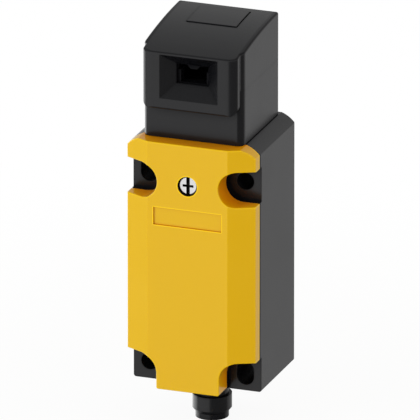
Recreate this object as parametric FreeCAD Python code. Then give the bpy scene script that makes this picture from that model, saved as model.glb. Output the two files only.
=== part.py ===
import FreeCAD, Part
import math
import os

# A safety switch that a separate coded key works: a moulded housing with a front cover,
# a square head that can be turned in quarters, and a round device plug below.
# Millimetres. The origin is the centre of the fixing holes on the flat back,
# +Z runs up the housing and the cover looks along -Y.

# Fixing pattern and housing block
hole_spacing_x = 30.0
hole_spacing_z = 60.0
hole_radius = 2.65
slot_length = 7.3
housing_width = 40.0
housing_height = 77.0
housing_depth = 37.5
foot_below_holes = 5.0
shoulder_run = 4.1
shoulder_drop = 2.8
shoulder_bow = 0.35
foot_corner = 0.8
sole_drop = 0.4
rim_round = 0.8
back_round = 0.3

# Front cover, a shell with a flat middle and two sloping sides
cover_depth = 7.2
cover_flat_half = 12.5
cover_side_depth = 3.6
cover_wall = 2.3
cover_gap = 0.1
cover_edge = 0.35
tongue_corner = 0.6
notch_radius = 5.45
upper_notch_drop = 0.4
lower_notch_shift = 0.25
boss_step = 1.7
plate_half = 10.6
plate_height = 5.5
plate_above_foot = 51.4
plate_sink = 0.5
screw_above_foot = 64.4
screw_head_radius = 2.8
screw_recess_radius = 3.05
screw_head_sink = 0.8
screw_head_height = 2.0
screw_head_round = 0.35
screw_slot_width = 1.1
screw_slot_depth = 1.1
screw_cross_half = 1.7
screw_cross_width = 0.75
screw_shank_radius = 1.95
screw_slack = 0.1
screw_reach = 6.4
screw_hole_end = 0.6
retainer_radius = 2.8
retainer_thick = 0.65

# Chamber in the housing, heights above its foot
chamber_half = 17.6
chamber_low = 12.6
chamber_high = 57.4
chamber_floor = 2.6
chamber_corner = 2.0
neck_half = 8.0
neck_high = 60.0
seal_offset = 0.3
seal_width = 1.0
seal_depth = 1.0

# Head, square in plan and turned about an upright axis
axis_y = -17.2
head_width = 31.2
head_corner = 2.3
head_back_corner = 0.8
head_gap = 0.15
head_base_height = 17.05
spigot_radius = 9.0
spigot_depth = 7.0
spigot_bore_depth = 7.5
running_gap = 0.05
groove_radius = 7.25
groove_low = 72.0
groove_height = 2.4
clip_half = 9.7
clip_front = 0.4
clip_back = 8.2
clip_slack = 0.2
head_seal_inner = 10.3
head_seal_outer = 11.95
head_seal_thick = 1.0

# Hood, the upper half of the head
nose_front = -36.4
nose_half = 14.75
nose_flat_half = 11.2
nose_corner_depth = 2.1
nose_blend = 0.8
nose_low = 87.1
nose_low_corner = 2.5
nose_low_round = 0.6
roof_crest_y = 1.35
roof_crest = 108.82
roof_radius = 174.5
roof_round = 0.6
funnel_half = 9.05
funnel_low = 90.45
funnel_high = 104.0
funnel_depth = 3.6
throat_half = 4.95
throat_low = 94.55
throat_high = 100.55
throat_depth = 1.1
slot_half = 4.0
slot_ear_half = 4.8
slot_low = 94.7
slot_ear_low = 98.4
slot_high = 100.4
slot_tooth_low = 99.0
slot_tooth_root_half = 2.3
slot_tooth_tip_half = 1.0
hood_hollow_half = 9.0
hood_hollow_front = -29.0
hood_hollow_back = -4.0
hood_hollow_high = 102.5

# Cap of the top key entry
cap_half = 8.0
cap_front = -16.8
cap_back = -4.5
cap_ledge = 1.5
cap_low = 104.6
cap_gap = 0.25
cap_proud = 0.25

# Cam that the key turns, and the plunger below it
cam_above_foot = 89.0
cam_radius = 7.0
cam_lift = 3.5
cam_turn = 60.0
cam_half = 3.0
cam_hub_radius = 3.2
cam_lead_angle = 25.0
cam_over_turn = 5.0
axle_radius = 1.5
axle_half = 11.9
axle_gap = 0.1
axle_seat_gap = 0.03
keeper_gap = 0.2
push_finger_angle = 20.0
push_finger_reach = 8.9
pull_finger_angle = 62.0
pull_finger_reach = 7.2
finger_radius = 1.4
cam_hollow_half = 7.5
cam_hollow_front = -26.7
cam_hollow_back = -5.2
cam_hollow_low = 80.0
plunger_radius = 3.0
plunger_tip_radius = 0.8
plunger_cone = 2.9
plunger_gap = 0.6
plunger_clearance = 0.4
plunger_low = 53.0
plunger_seal_outer = 5.5
plunger_seal_low = 66.0
plunger_seal_height = 2.8

# Contact block, heights above the foot
block_half = 15.0
block_low = 20.0
block_high = 56.0
block_front = -21.9
block_corner = 0.6
channel_half = 10.5
channel_floor = 24.0
channel_back = -12.7
block_lid = 1.3
lid_corner = 0.4
lid_gap = 0.2
carrier_half = 4.0
carrier_depth = 8.4
carrier_low = 27.0
contact_levels = (33.0, 43.0)
bridge_half = 9.5
bridge_width = 4.8
bridge_thick = 1.0
window_drop = 2.2
window_gap = 0.1
button_radius = 1.5
button_height = 0.6
button_reach = 8.0
contact_gap = 3.7
strip_thick = 0.8
terminal_x = 12.2
terminal_outer = 14.4
terminal_inner = 10.6
tab_half_height = 2.6
leg_rise = 1.2
screw_radius = 1.25
terminal_screw_reach = 1.9
terminal_head_radius = 1.9
terminal_head_height = 1.5
terminal_slot_depth = 0.7
terminal_slot_width = 0.6
clamp_thick = 0.5
clamp_half = 1.75
leaf_thick = 0.3
leaf_end_gap = 0.4
leaf_side_gap = 0.6
spring_low = 21.5
spring_high = 30.0
spring_radius = 2.5
spring_wire = 0.35
spring_pitch = 1.5
spring_gap = 0.3

# Device plug under the foot, on an upright axis of its own
plug_y = -16.1
bore_radius = 6.0
bore_height = 9.0
bore_end_gap = 0.2
lead_hole_radius = 5.0
plug_seal_thick = 1.0
hexagon_flats = 15.0
hexagon_height = 2.5
neck_radius = 5.0
thread_radius = 5.9
thread_top = -7.2
thread_end = -11.55
nose_radius = 5.0
nose_top = -12.7
plug_end = -14.4
socket_radius = 4.2
socket_floor = -5.5
pin_circle = 2.3
pin_radius = 0.5
pin_sunk = 1.2
pin_round = 0.2
lead_radius = 0.65
lead_bend = 2.0
lead_gap = 0.1
lead_aside = 1.2
lead_low_turn = 14.4
lead_high_turn = 17.2
lead_step = 3.0

half_width = housing_width / 2
foot = -(hole_spacing_z / 2 + foot_below_holes)
sole = foot - sole_drop
shelf = foot + housing_height
face = -housing_depth
rim = face + cover_depth
cover_back = rim - cover_gap
head_low = shelf + head_gap
seam = head_low + head_base_height
cam_z = foot + cam_above_foot
cam_rate = cam_lift / math.radians(cam_turn)
tip_z = cam_z - cam_radius - plunger_gap


def vec(x, y, z):
    return FreeCAD.Vector(x, y, z)


def block(x_span, y_span, z_span):
    """A box between two values on each axis."""
    low = vec(x_span[0], y_span[0], z_span[0])
    return Part.makeBox(x_span[1] - x_span[0], y_span[1] - y_span[0], z_span[1] - z_span[0], low)


def rod(radius, start, end):
    """A round bar between two points."""
    run = end - start
    return Part.makeCylinder(radius, run.Length, start, run)


def upright(radius, low, high, x=0.0, y=axis_y):
    """A round bar along Z, on the head's axis unless another place is given."""
    return rod(radius, vec(x, y, low), vec(x, y, high))


def ring(inner, outer, low, high, y=axis_y):
    """A flat ring round the head's axis, or round another upright axis behind the middle of the cover."""
    return upright(outer, low, high, 0, y).cut(upright(inner, low, high, 0, y))


def prism(points, run):
    """A closed polygon pushed along a vector."""
    wire = Part.makePolygon(points + points[:1])
    return Part.Face(wire).extrude(run)


def sheet(edges, run):
    """A closed chain of edges pushed along a vector."""
    return Part.Face(Part.Wire(edges)).extrude(run)


def joined(shapes):
    """Several solids made one, with no seams between their faces."""
    return shapes[0].fuse(shapes[1:]).removeSplitter()


def along(edge, axis):
    """True where a straight edge runs along X, Y or Z."""
    ends = [vertex.Point for vertex in edge.Vertexes]
    run = ends[-1] - ends[0]
    straight = run.Length > 0 and abs(edge.Length - run.Length) < 1e-6
    return straight and abs(abs(getattr(run, axis)) - run.Length) < 1e-6


def rounded(shape, radius, test):
    """The edges that pass a test, rounded."""
    return shape.makeFillet(radius, [edge for edge in shape.Edges if test(edge)])


def mirrored(shape):
    """The same shape on the other side of the middle plane."""
    return shape.mirror(vec(0, 0, 0), vec(1, 0, 0))


def both_sides(shape):
    """A shape and its mirror image as separate solids."""
    return [shape, mirrored(shape)]


def save(shape, name):
    shape.exportStep(f"parts/{name}.step")
    print(name, len(shape.Solids), "solid", round(shape.Volume, 1), "mm3", shape.isValid())


def housing_outline(y_low, y_high):
    """Front outline of the housing: upright sides and a bowed shoulder at each top corner."""
    inner = half_width - shoulder_run
    lower = shelf - shoulder_drop
    reach = math.hypot(shoulder_run, shoulder_drop)
    bow_x = (half_width + inner) / 2 + shoulder_bow * shoulder_drop / reach
    bow_z = (shelf + lower) / 2 + shoulder_bow * shoulder_run / reach
    foot_left, foot_right = vec(-half_width, y_low, sole), vec(half_width, y_low, sole)
    low_left, low_right = vec(-half_width, y_low, lower), vec(half_width, y_low, lower)
    top_left, top_right = vec(-inner, y_low, shelf), vec(inner, y_low, shelf)
    edges = [
        Part.LineSegment(foot_left, foot_right).toShape(),
        Part.LineSegment(foot_right, low_right).toShape(),
        Part.Arc(low_right, vec(bow_x, y_low, bow_z), top_right).toShape(),
        Part.LineSegment(top_right, top_left).toShape(),
        Part.Arc(top_left, vec(-bow_x, y_low, bow_z), low_left).toShape(),
        Part.LineSegment(low_left, foot_left).toShape(),
    ]
    return sheet(edges, vec(0, y_high - y_low, 0))


def corner_notches(y_low, y_high):
    """The four notches round the fixing holes: open to the side, the lower pair to the foot too."""
    x = hole_spacing_x / 2
    high = hole_spacing_z / 2 - upper_notch_drop
    low = -hole_spacing_z / 2
    low_x = x + lower_notch_shift
    outside = half_width + 1
    depth = (y_low, y_high)
    upper = joined([
        rod(notch_radius, vec(x, y_low, high), vec(x, y_high, high)),
        block((x, outside), depth, (high - notch_radius, high + notch_radius)),
    ])
    lower = joined([
        rod(notch_radius, vec(low_x, y_low, low), vec(low_x, y_high, low)),
        block((low_x, outside), depth, (low, low + notch_radius)),
        block((low_x - notch_radius, outside), depth, (sole - 1, low)),
    ])
    return both_sides(upper) + both_sides(lower)


def fixing_holes():
    """Two round holes on one diagonal and two upright slots on the other."""
    tools = []
    for side in (-1, 1):
        for level in (-1, 1):
            x, z = side * hole_spacing_x / 2, level * hole_spacing_z / 2
            stretch = 0 if side == level else (slot_length - 2 * hole_radius) / 2
            for shift in {-stretch, stretch}:
                tools.append(rod(hole_radius, vec(x, rim - 1, z + shift), vec(x, 1, z + shift)))
            if stretch:
                width = (x - hole_radius, x + hole_radius)
                tools.append(block(width, (rim - 1, 1), (z - stretch, z + stretch)))
    return tools


def chamber_outline(y_low, y_high, spread):
    """The chamber with the neck above it, grown by a margin."""
    chamber = block(
        (-chamber_half - spread, chamber_half + spread),
        (y_low, y_high),
        (foot + chamber_low - spread, foot + chamber_high + spread),
    )
    chamber = rounded(chamber, chamber_corner + spread, lambda edge: along(edge, "y"))
    neck = block(
        (-neck_half - spread, neck_half + spread),
        (y_low, y_high),
        (foot + chamber_high - chamber_corner, foot + neck_high + spread),
    )
    return joined([chamber, neck])


def make_enclosure():
    body = housing_outline(rim, 0)
    body = rounded(body, foot_corner, lambda edge: along(edge, "y") and edge.CenterOfMass.z < sole + 1)
    body = rounded(body, rim_round, lambda edge: along(edge, "z") and edge.CenterOfMass.y < rim + 1)
    body = rounded(body, back_round, lambda edge: along(edge, "z") and edge.CenterOfMass.y > -1)
    clip_high = foot + groove_low + groove_height
    clip_slot = block(
        (-clip_half - clip_slack, clip_half + clip_slack),
        (rim - 1, axis_y + clip_back + clip_slack),
        (foot + groove_low, clip_high),
    )
    screw_z = foot + screw_above_foot
    screw_hole = rim + screw_reach + screw_hole_end
    cuts = corner_notches(rim - 1, rim + boss_step) + fixing_holes()
    cuts += [
        chamber_outline(rim - 1, -chamber_floor, 0),
        clip_slot,
        upright(spigot_radius + running_gap, shelf - spigot_bore_depth, shelf + 1),
        upright(plunger_seal_outer, foot + plunger_seal_low, shelf),
        upright(plunger_radius + running_gap, foot + neck_high - 1, shelf),
        ring(head_seal_inner, head_seal_outer, shelf - head_seal_thick, shelf + 1),
        rod(screw_shank_radius + screw_slack, vec(0, rim - 1, screw_z), vec(0, screw_hole, screw_z)),
        upright(bore_radius, sole - 1, foot + bore_height, 0, plug_y),
        upright(lead_hole_radius, foot, foot + chamber_low + 1, 0, plug_y),
    ]
    return body.cut(cuts)


def cover_section(inset):
    """Plan of the cover, or of the hollow inside it: flat middle, sloping sides, short upright walls."""
    slope = math.atan2(cover_side_depth, half_width - cover_flat_half)
    side = half_width - inset
    flat = cover_flat_half - inset * math.tan(slope / 2)
    front = face + inset
    turn = face + cover_side_depth + inset * math.tan(math.pi / 4 - slope / 2)
    points = [
        vec(-side, cover_back, foot),
        vec(-side, turn, foot),
        vec(-flat, front, foot),
        vec(flat, front, foot),
        vec(side, turn, foot),
        vec(side, cover_back, foot),
    ]
    return prism(points, vec(0, 0, housing_height))


def cover_hollow():
    """The space inside the cover, above the chamber of the housing."""
    edge = seal_offset
    window = block(
        (-chamber_half + edge, chamber_half - edge),
        (face, rim),
        (foot + chamber_low + edge, foot + chamber_high - edge),
    )
    window = rounded(window, chamber_corner, lambda line: along(line, "y"))
    return cover_section(cover_wall).common(window)


def seal_band(y_low, y_high):
    """A band that runs round the chamber's mouth."""
    outer = chamber_outline(y_low, y_high, seal_offset + seal_width)
    return outer.cut(chamber_outline(y_low - 1, y_high + 1, seal_offset))


def make_front_cover():
    shell = cover_section(0).common(housing_outline(face - 1, cover_back))
    shell = shell.cut(corner_notches(face - 1, rim))
    shell = rounded(shell, tongue_corner, lambda edge: along(edge, "y") and edge.CenterOfMass.z < foot + 0.1)
    shell = rounded(shell, cover_edge, is_cover_edge)
    screw_z = foot + screw_above_foot
    head_seat = face + screw_head_sink + screw_head_height
    plate_low = foot + plate_above_foot
    plate_high = plate_low + plate_height
    retainer_front = cover_back - retainer_thick - screw_slack
    cuts = [
        cover_hollow(),
        block((-plate_half, plate_half), (face - 1, face + plate_sink), (plate_low, plate_high)),
        seal_band(cover_back - seal_depth, rim),
        rod(screw_recess_radius, vec(0, face - 1, screw_z), vec(0, head_seat, screw_z)),
        rod(screw_shank_radius + 2 * screw_slack, vec(0, face, screw_z), vec(0, rim, screw_z)),
        rod(retainer_radius + screw_slack, vec(0, retainer_front, screw_z), vec(0, rim, screw_z)),
    ]
    return shell.cut(cuts)


def is_cover_edge(edge):
    """Outer edges of the cover's front: all but the two bends between the flat and the slopes."""
    middle = edge.valueAt((edge.FirstParameter + edge.LastParameter) / 2)
    on_back = abs(middle.y - cover_back) < 0.01
    across = edge.Vertexes[0].Point.y - edge.Vertexes[-1].Point.y
    deep = abs(across) > 1 and abs(edge.Vertexes[0].X - edge.Vertexes[-1].X) < 0.01
    on_bend = along(edge, "z") and abs(abs(middle.x) - cover_flat_half) < 0.01
    return not (on_back or deep or on_bend)


def make_cover_screw():
    z = foot + screw_above_foot
    top = face + screw_head_sink
    seat = top + screw_head_height
    head = rod(screw_head_radius, vec(0, top, z), vec(0, seat, z))
    head = rounded(head, screw_head_round, lambda edge: abs(edge.CenterOfMass.y - top) < 0.01)
    shank = rod(screw_shank_radius, vec(0, seat, z), vec(0, rim + screw_reach, z))
    depth = (top - 1, top + screw_slot_depth)
    slot_side, cross_side = screw_slot_width / 2, screw_cross_width / 2
    slot = block((-slot_side, slot_side), depth, (z - screw_recess_radius, z + screw_recess_radius))
    cross = block((-screw_cross_half, screw_cross_half), depth, (z - cross_side, z + cross_side))
    return joined([head, shank]).cut([slot, cross])


def make_screw_retainer():
    z = foot + screw_above_foot
    end = cover_back - running_gap
    low, high = vec(0, end - retainer_thick, z), vec(0, end, z)
    return rod(retainer_radius, low, high).cut(rod(screw_shank_radius, low, high))


def head_block(low, high):
    """A slice of the square head, its upright corners full at the front and small at the back."""
    half = head_width / 2
    body = block((-half, half), (axis_y - half, axis_y + half), (low, high))
    front = lambda edge: along(edge, "z") and edge.CenterOfMass.y < axis_y
    back = lambda edge: along(edge, "z") and edge.CenterOfMass.y > axis_y + half - 1
    return rounded(rounded(body, head_corner, front), head_back_corner, back)


def make_head_base():
    body = joined([head_block(head_low, seam), upright(spigot_radius, shelf - spigot_depth, head_low + 1)])
    low, high = foot + groove_low, foot + groove_low + groove_height
    hollow = block(
        (-cam_hollow_half, cam_hollow_half),
        (cam_hollow_front, cam_hollow_back),
        (foot + cam_hollow_low, seam + 1),
    )
    hollow = rounded(hollow, chamber_corner, lambda edge: along(edge, "z"))
    end = axle_half + axle_gap
    seat = axle_radius + axle_seat_gap
    axle_slot = block((-end, end), (axis_y - seat, axis_y + seat), (cam_z, seam + 1))
    cuts = [
        ring(groove_radius, spigot_radius + 1, low, high),
        upright(plunger_radius + plunger_clearance, shelf - spigot_depth - 1, foot + cam_hollow_low + 1),
        hollow,
        axle_slot,
        rod(seat, vec(-end, axis_y, cam_z), vec(end, axis_y, cam_z)),
    ]
    return body.cut(cuts)


def roof_height(y):
    return foot + roof_crest - (y - roof_crest_y) ** 2 / (2 * roof_radius)


def under_roof(half, low):
    """Everything below the bowed roof of the head, across a given width."""
    front, middle, back = nose_front - 2, axis_y, 2
    corners = [vec(-half, y, roof_height(y)) for y in (front, middle, back)]
    low_front, low_back = vec(-half, front, low), vec(-half, back, low)
    edges = [
        Part.Arc(*corners).toShape(),
        Part.LineSegment(corners[2], low_back).toShape(),
        Part.LineSegment(low_back, low_front).toShape(),
        Part.LineSegment(low_front, corners[0]).toShape(),
    ]
    return sheet(edges, vec(2 * half, 0, 0))


def on_roof(edge):
    middle = edge.valueAt((edge.FirstParameter + edge.LastParameter) / 2)
    return abs(middle.z - roof_height(middle.y)) < 0.05


def rectangle(half, low, high, y):
    """A closed upright rectangle, centred across the head."""
    points = [vec(-half, y, low), vec(half, y, low), vec(half, y, high), vec(-half, y, high)]
    return Part.makePolygon(points + points[:1])


def key_entry():
    """Funnel, throat and coded slot: the slot has an ear on each side and a tooth hanging from its top."""
    throat_y = nose_front + funnel_depth
    plate_y = throat_y + throat_depth
    funnel = Part.makeLoft([
        rectangle(funnel_half, foot + funnel_low, foot + funnel_high, nose_front),
        rectangle(throat_half, foot + throat_low, foot + throat_high, throat_y),
    ], True, True)
    mouth = Part.Face(rectangle(funnel_half, foot + funnel_low, foot + funnel_high, nose_front - 1))
    right = [
        (slot_half, slot_low),
        (slot_half, slot_ear_low),
        (slot_ear_half, slot_ear_low),
        (slot_ear_half, slot_high),
        (slot_tooth_root_half, slot_high),
        (slot_tooth_tip_half, slot_tooth_low),
    ]
    left = [(-x, z) for x, z in reversed(right)]
    points = [vec(x, throat_y, foot + z) for x, z in right + left]
    slot = prism(points, vec(0, hood_hollow_front - throat_y + 1, 0))
    throat = block((-throat_half, throat_half), (throat_y, plate_y), (foot + throat_low, foot + throat_high))
    return [funnel, mouth.extrude(vec(0, 1, 0)), throat, slot]


def cap_tools(spread):
    """Opening for the top entry cap: a wide part that ends on a ledge, and the hole through it."""
    wide = block(
        (-cap_half + spread, cap_half - spread),
        (cap_front + spread, cap_back - spread),
        (foot + cap_low, foot + roof_crest + 2),
    )
    inset = cap_ledge + spread
    plug = block(
        (-cap_half + inset, cap_half - inset),
        (cap_front + inset, cap_back - inset),
        (foot + hood_hollow_high, foot + cap_low),
    )
    return [wide, plug]


def nose_corner(side):
    """One front corner of the nose in plan, a quarter of an ellipse that is wider than it is deep."""
    width = nose_half - nose_flat_half
    centre = vec(side * nose_flat_half, nose_front + nose_corner_depth, 0)
    ellipse = Part.Ellipse(centre, width, nose_corner_depth)
    start = math.pi if side < 0 else 1.5 * math.pi
    return Part.ArcOfEllipse(ellipse, start, start + math.pi / 2).toShape()


def nose_block(back, low, high):
    """A slice of the nose round the key entry, with softly turned front corners."""
    turn = nose_front + nose_corner_depth
    left, right = -nose_half, nose_half
    edges = [
        Part.LineSegment(vec(left, back, 0), vec(left, turn, 0)).toShape(),
        nose_corner(-1),
        Part.LineSegment(vec(-nose_flat_half, nose_front, 0), vec(nose_flat_half, nose_front, 0)).toShape(),
        nose_corner(1),
        Part.LineSegment(vec(right, turn, 0), vec(right, back, 0)).toShape(),
        Part.LineSegment(vec(right, back, 0), vec(left, back, 0)).toShape(),
    ]
    nose = sheet(edges, vec(0, 0, high - low))
    nose.translate(vec(0, 0, low))
    return nose


def make_apron():
    """The part of the nose that hangs below the seam, rounded at its lower corners and lower edge."""
    low, back = foot + nose_low, axis_y - head_width / 2
    span = block((-nose_half, nose_half), (nose_front, back), (low, seam))
    under = lambda edge: abs(edge.CenterOfMass.z - low) < 0.01
    corners = rounded(span, nose_low_corner, lambda edge: under(edge) and along(edge, "y"))
    lip = lambda edge: under(edge) and abs(edge.CenterOfMass.y - nose_front) < 0.01
    return nose_block(back, low, seam).common(corners).common(rounded(span, nose_low_round, lip))


def is_nose_root(edge):
    """The upright inner corners where the nose meets the head."""
    place = edge.CenterOfMass
    beside = abs(abs(place.x) - nose_half) < 0.01
    return along(edge, "z") and beside and place.y > nose_front + nose_corner_depth + 0.1


def make_head_hood():
    top = foot + roof_crest + 2
    body = joined([head_block(seam, top), nose_block(axis_y, seam, top)])
    body = rounded(body, nose_blend, is_nose_root)
    body = body.common(under_roof(half_width, foot))
    body = rounded(body, roof_round, on_roof)
    hollow = block(
        (-hood_hollow_half, hood_hollow_half),
        (hood_hollow_front, hood_hollow_back),
        (seam - 1, foot + hood_hollow_high),
    )
    body = joined([body, make_apron()]).cut(key_entry() + cap_tools(0) + [hollow])
    keeper = block(
        (hood_hollow_half + keeper_gap, axle_half - keeper_gap),
        (axis_y - axle_radius + keeper_gap, axis_y + axle_radius - keeper_gap),
        (cam_z + axle_radius + axle_gap, seam + 1),
    )
    return joined([body] + both_sides(keeper))


def make_top_entry_cap():
    """The cap follows the roof and stands a little above it."""
    return joined(cap_tools(cap_gap)).common(under_roof(cap_half, foot).translated(vec(0, 0, cap_proud)))


def make_head_retaining_clip():
    low = foot + groove_low + clip_slack
    high = foot + groove_low + groove_height - clip_slack
    outer = block((-clip_half, clip_half), (rim + clip_front, axis_y + clip_back), (low, high))
    inner = groove_radius + 2 * running_gap
    gap = block((-inner, inner), (axis_y, axis_y + spigot_radius), (low, high))
    return outer.cut([gap, upright(inner, low, high)])


def cam_point(angle, radius):
    """A point of the cam's outline: the angle runs from straight down towards the back."""
    return vec(-cam_half, axis_y + radius * math.sin(angle), cam_z - radius * math.cos(angle))


def cam_finger(angle, reach):
    """A round-ended finger from the hub, leaning from upright towards the front."""
    lean = math.radians(angle)
    out = vec(0, -math.sin(lean), math.cos(lean))
    side = vec(0, math.cos(lean), math.sin(lean)) * finger_radius
    hub = vec(-cam_half, axis_y, cam_z)
    tip = hub + out * reach
    across = vec(2 * cam_half, 0, 0)
    stem = prism([hub - side, hub + side, tip + side, tip - side], across)
    return [stem, rod(finger_radius, tip, tip + across)]


def make_key_cam():
    """The lower flank loses the same radius for every degree, so the plunger follows at a steady rate."""
    start = -math.radians(cam_lead_angle)
    end = math.radians(cam_turn + cam_over_turn)
    steps = [end * index / 12 for index in range(13)]
    spiral = Part.BSplineCurve()
    spiral.interpolate([cam_point(angle, cam_radius - cam_rate * angle) for angle in steps])
    first, last = cam_point(start, cam_radius), cam_point(end, cam_radius - cam_rate * end)
    lead = Part.Arc(first, cam_point(start / 2, cam_radius), cam_point(0, cam_radius))
    centre = vec(-cam_half, axis_y, cam_z)
    edges = [
        lead.toShape(),
        spiral.toShape(),
        Part.LineSegment(last, centre).toShape(),
        Part.LineSegment(centre, first).toShape(),
    ]
    across = vec(2 * cam_half, 0, 0)
    solids = [sheet(edges, across), rod(cam_hub_radius, centre, centre + across)]
    solids += cam_finger(push_finger_angle, push_finger_reach)
    solids += cam_finger(pull_finger_angle, pull_finger_reach)
    bore = rod(axle_radius + running_gap, centre - across, centre + across * 2)
    return joined(solids).cut(bore)


def make_cam_axle():
    return rod(axle_radius, vec(-axle_half, axis_y, cam_z), vec(axle_half, axis_y, cam_z))


def make_plunger():
    ball = tip_z - plunger_tip_radius
    cone_low = ball - plunger_cone
    cone = Part.makeCone(plunger_radius, plunger_tip_radius, plunger_cone, vec(0, axis_y, cone_low))
    tip = Part.makeSphere(plunger_tip_radius, vec(0, axis_y, ball))
    return joined([upright(plunger_radius, foot + plunger_low, cone_low), cone, tip])


def make_plunger_seal():
    low = foot + plunger_seal_low
    inner, outer = plunger_radius + running_gap, plunger_seal_outer - running_gap
    return ring(inner, outer, low, low + plunger_seal_height)


def make_head_seal():
    return ring(head_seal_inner, head_seal_outer, shelf - head_seal_thick, shelf)


def bridge_span(level, drop, rise):
    """Height range round a contact level."""
    return (foot + level - drop, foot + level + rise)


def make_contact_carrier():
    depth = (axis_y - carrier_depth / 2, axis_y + carrier_depth / 2)
    carrier = block((-carrier_half, carrier_half), depth, (foot + carrier_low, foot + plunger_low))
    window_half = bridge_width / 2 + window_gap
    window_depth = (axis_y - window_half, axis_y + window_half)
    across = (-carrier_half - 1, carrier_half + 1)
    cuts = [upright(spring_radius + spring_wire + spring_gap, foot, foot + spring_high)]
    for level in contact_levels:
        cuts.append(block(across, window_depth, bridge_span(level, window_drop, bridge_thick / 2)))
    return carrier.cut(cuts)


def make_contact_bridges():
    bridges = []
    for level in contact_levels:
        top = foot + level + bridge_thick / 2
        depth = (axis_y - bridge_width / 2, axis_y + bridge_width / 2)
        strip = block((-bridge_half, bridge_half), depth, (top - bridge_thick, top))
        button = upright(button_radius, top - bridge_thick / 2, top + button_height, button_reach)
        bridges.append(joined([strip] + both_sides(button)))
    return Part.makeCompound(bridges)


def make_bridge_springs():
    """Bowed leaf springs that press each bridge up in its window."""
    leaves = []
    for level in contact_levels:
        low = foot + level - window_drop
        high = foot + level - bridge_thick / 2
        reach = carrier_half - leaf_end_gap
        y = axis_y - bridge_width / 2 + leaf_side_gap
        outer = [vec(-reach, y, low), vec(0, y, high), vec(reach, y, low)]
        inner_reach = reach - 2 * leaf_thick
        inner = [vec(inner_reach, y, low), vec(0, y, high - leaf_thick), vec(-inner_reach, y, low)]
        edges = [
            Part.Arc(*outer).toShape(),
            Part.LineSegment(outer[2], inner[0]).toShape(),
            Part.Arc(*inner).toShape(),
            Part.LineSegment(inner[2], outer[0]).toShape(),
        ]
        leaves.append(sheet(edges, vec(0, bridge_width - 2 * leaf_side_gap, 0)))
    return Part.makeCompound(leaves)


def strip_height(level):
    """Underside of a fixed contact's strip: the bridge's travel and a little air above its buttons."""
    return foot + level + bridge_thick / 2 + 2 * button_height + contact_gap


def fixed_contact(level):
    """One fixed contact of the right side: button, strip, leg to the front and terminal tab."""
    low = strip_height(level)
    high = low + strip_thick
    outer = terminal_outer
    width = (axis_y - bridge_width / 2, axis_y + bridge_width / 2)
    tab_y = block_front - strip_thick
    strip = block((button_reach - button_radius, outer), width, (low, high))
    leg = block((outer - strip_thick, outer), (tab_y, axis_y), (low, high + leg_rise))
    tab_height = (low - tab_half_height, low + tab_half_height)
    tab = block((terminal_inner, outer), (tab_y, block_front), tab_height)
    button = upright(button_radius, low - button_height, low, button_reach)
    hole = rod(screw_radius, vec(terminal_x, tab_y - 1, low), vec(terminal_x, block_front + 1, low))
    return joined([strip, leg, tab, button]).cut(hole)


def make_fixed_contacts():
    contacts = []
    for level in contact_levels:
        contacts += both_sides(fixed_contact(level))
    return Part.makeCompound(contacts)


def make_terminal_clamps():
    clamps = []
    for level in contact_levels:
        z = strip_height(level)
        back = block_front - strip_thick
        plate = block(
            (terminal_x - clamp_half, terminal_x + clamp_half),
            (back - clamp_thick, back),
            (z - clamp_half, z + clamp_half),
        )
        hole = rod(screw_radius, vec(terminal_x, back - 1, z), vec(terminal_x, back + 1, z))
        clamps += both_sides(plate.cut(hole))
    return Part.makeCompound(clamps)


def make_terminal_screws():
    screws = []
    for level in contact_levels:
        z = strip_height(level)
        seat = block_front - strip_thick - clamp_thick
        top = seat - terminal_head_height
        end = block_front + terminal_screw_reach
        head = rod(terminal_head_radius, vec(terminal_x, top, z), vec(terminal_x, seat, z))
        shank = rod(screw_radius, vec(terminal_x, seat, z), vec(terminal_x, end, z))
        slot = block(
            (terminal_x - terminal_head_radius, terminal_x + terminal_head_radius),
            (top - 1, top + terminal_slot_depth),
            (z - terminal_slot_width / 2, z + terminal_slot_width / 2),
        )
        screws += both_sides(joined([head, shank]).cut(slot))
    return Part.makeCompound(screws)


def make_contact_block_base(fixed, screws):
    height = (foot + block_low, foot + block_high)
    body = block((-block_half, block_half), (block_front, -chamber_floor), height)
    body = rounded(body, block_corner, lambda edge: along(edge, "z"))
    channel = block(
        (-channel_half, channel_half), (block_front - 1, channel_back), (foot + channel_floor, shelf)
    )
    pocket = upright(spring_radius + spring_wire + spring_gap, foot + spring_low, foot + channel_floor + 1)
    return body.cut([channel, pocket] + fixed.Solids + screws.Solids)


def make_contact_block_cover():
    side = channel_half - lid_gap
    lid = block(
        (-side, side), (block_front - block_lid, block_front), (foot + channel_floor, foot + block_high)
    )
    return rounded(lid, lid_corner, lambda edge: along(edge, "y"))


def make_return_spring():
    height = spring_high - spring_low - 2 * spring_wire - running_gap
    helix = Part.makeHelix(spring_pitch, height, spring_radius)
    start = helix.Edges[0].valueAt(helix.Edges[0].FirstParameter)
    circle = Part.Wire(Part.makeCircle(spring_wire, start, vec(0, 1, 0)))
    coil = Part.Wire(helix.Edges).makePipeShell([circle], True, True)
    coil.translate(vec(0, axis_y, foot + spring_low + spring_wire))
    return coil


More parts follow.
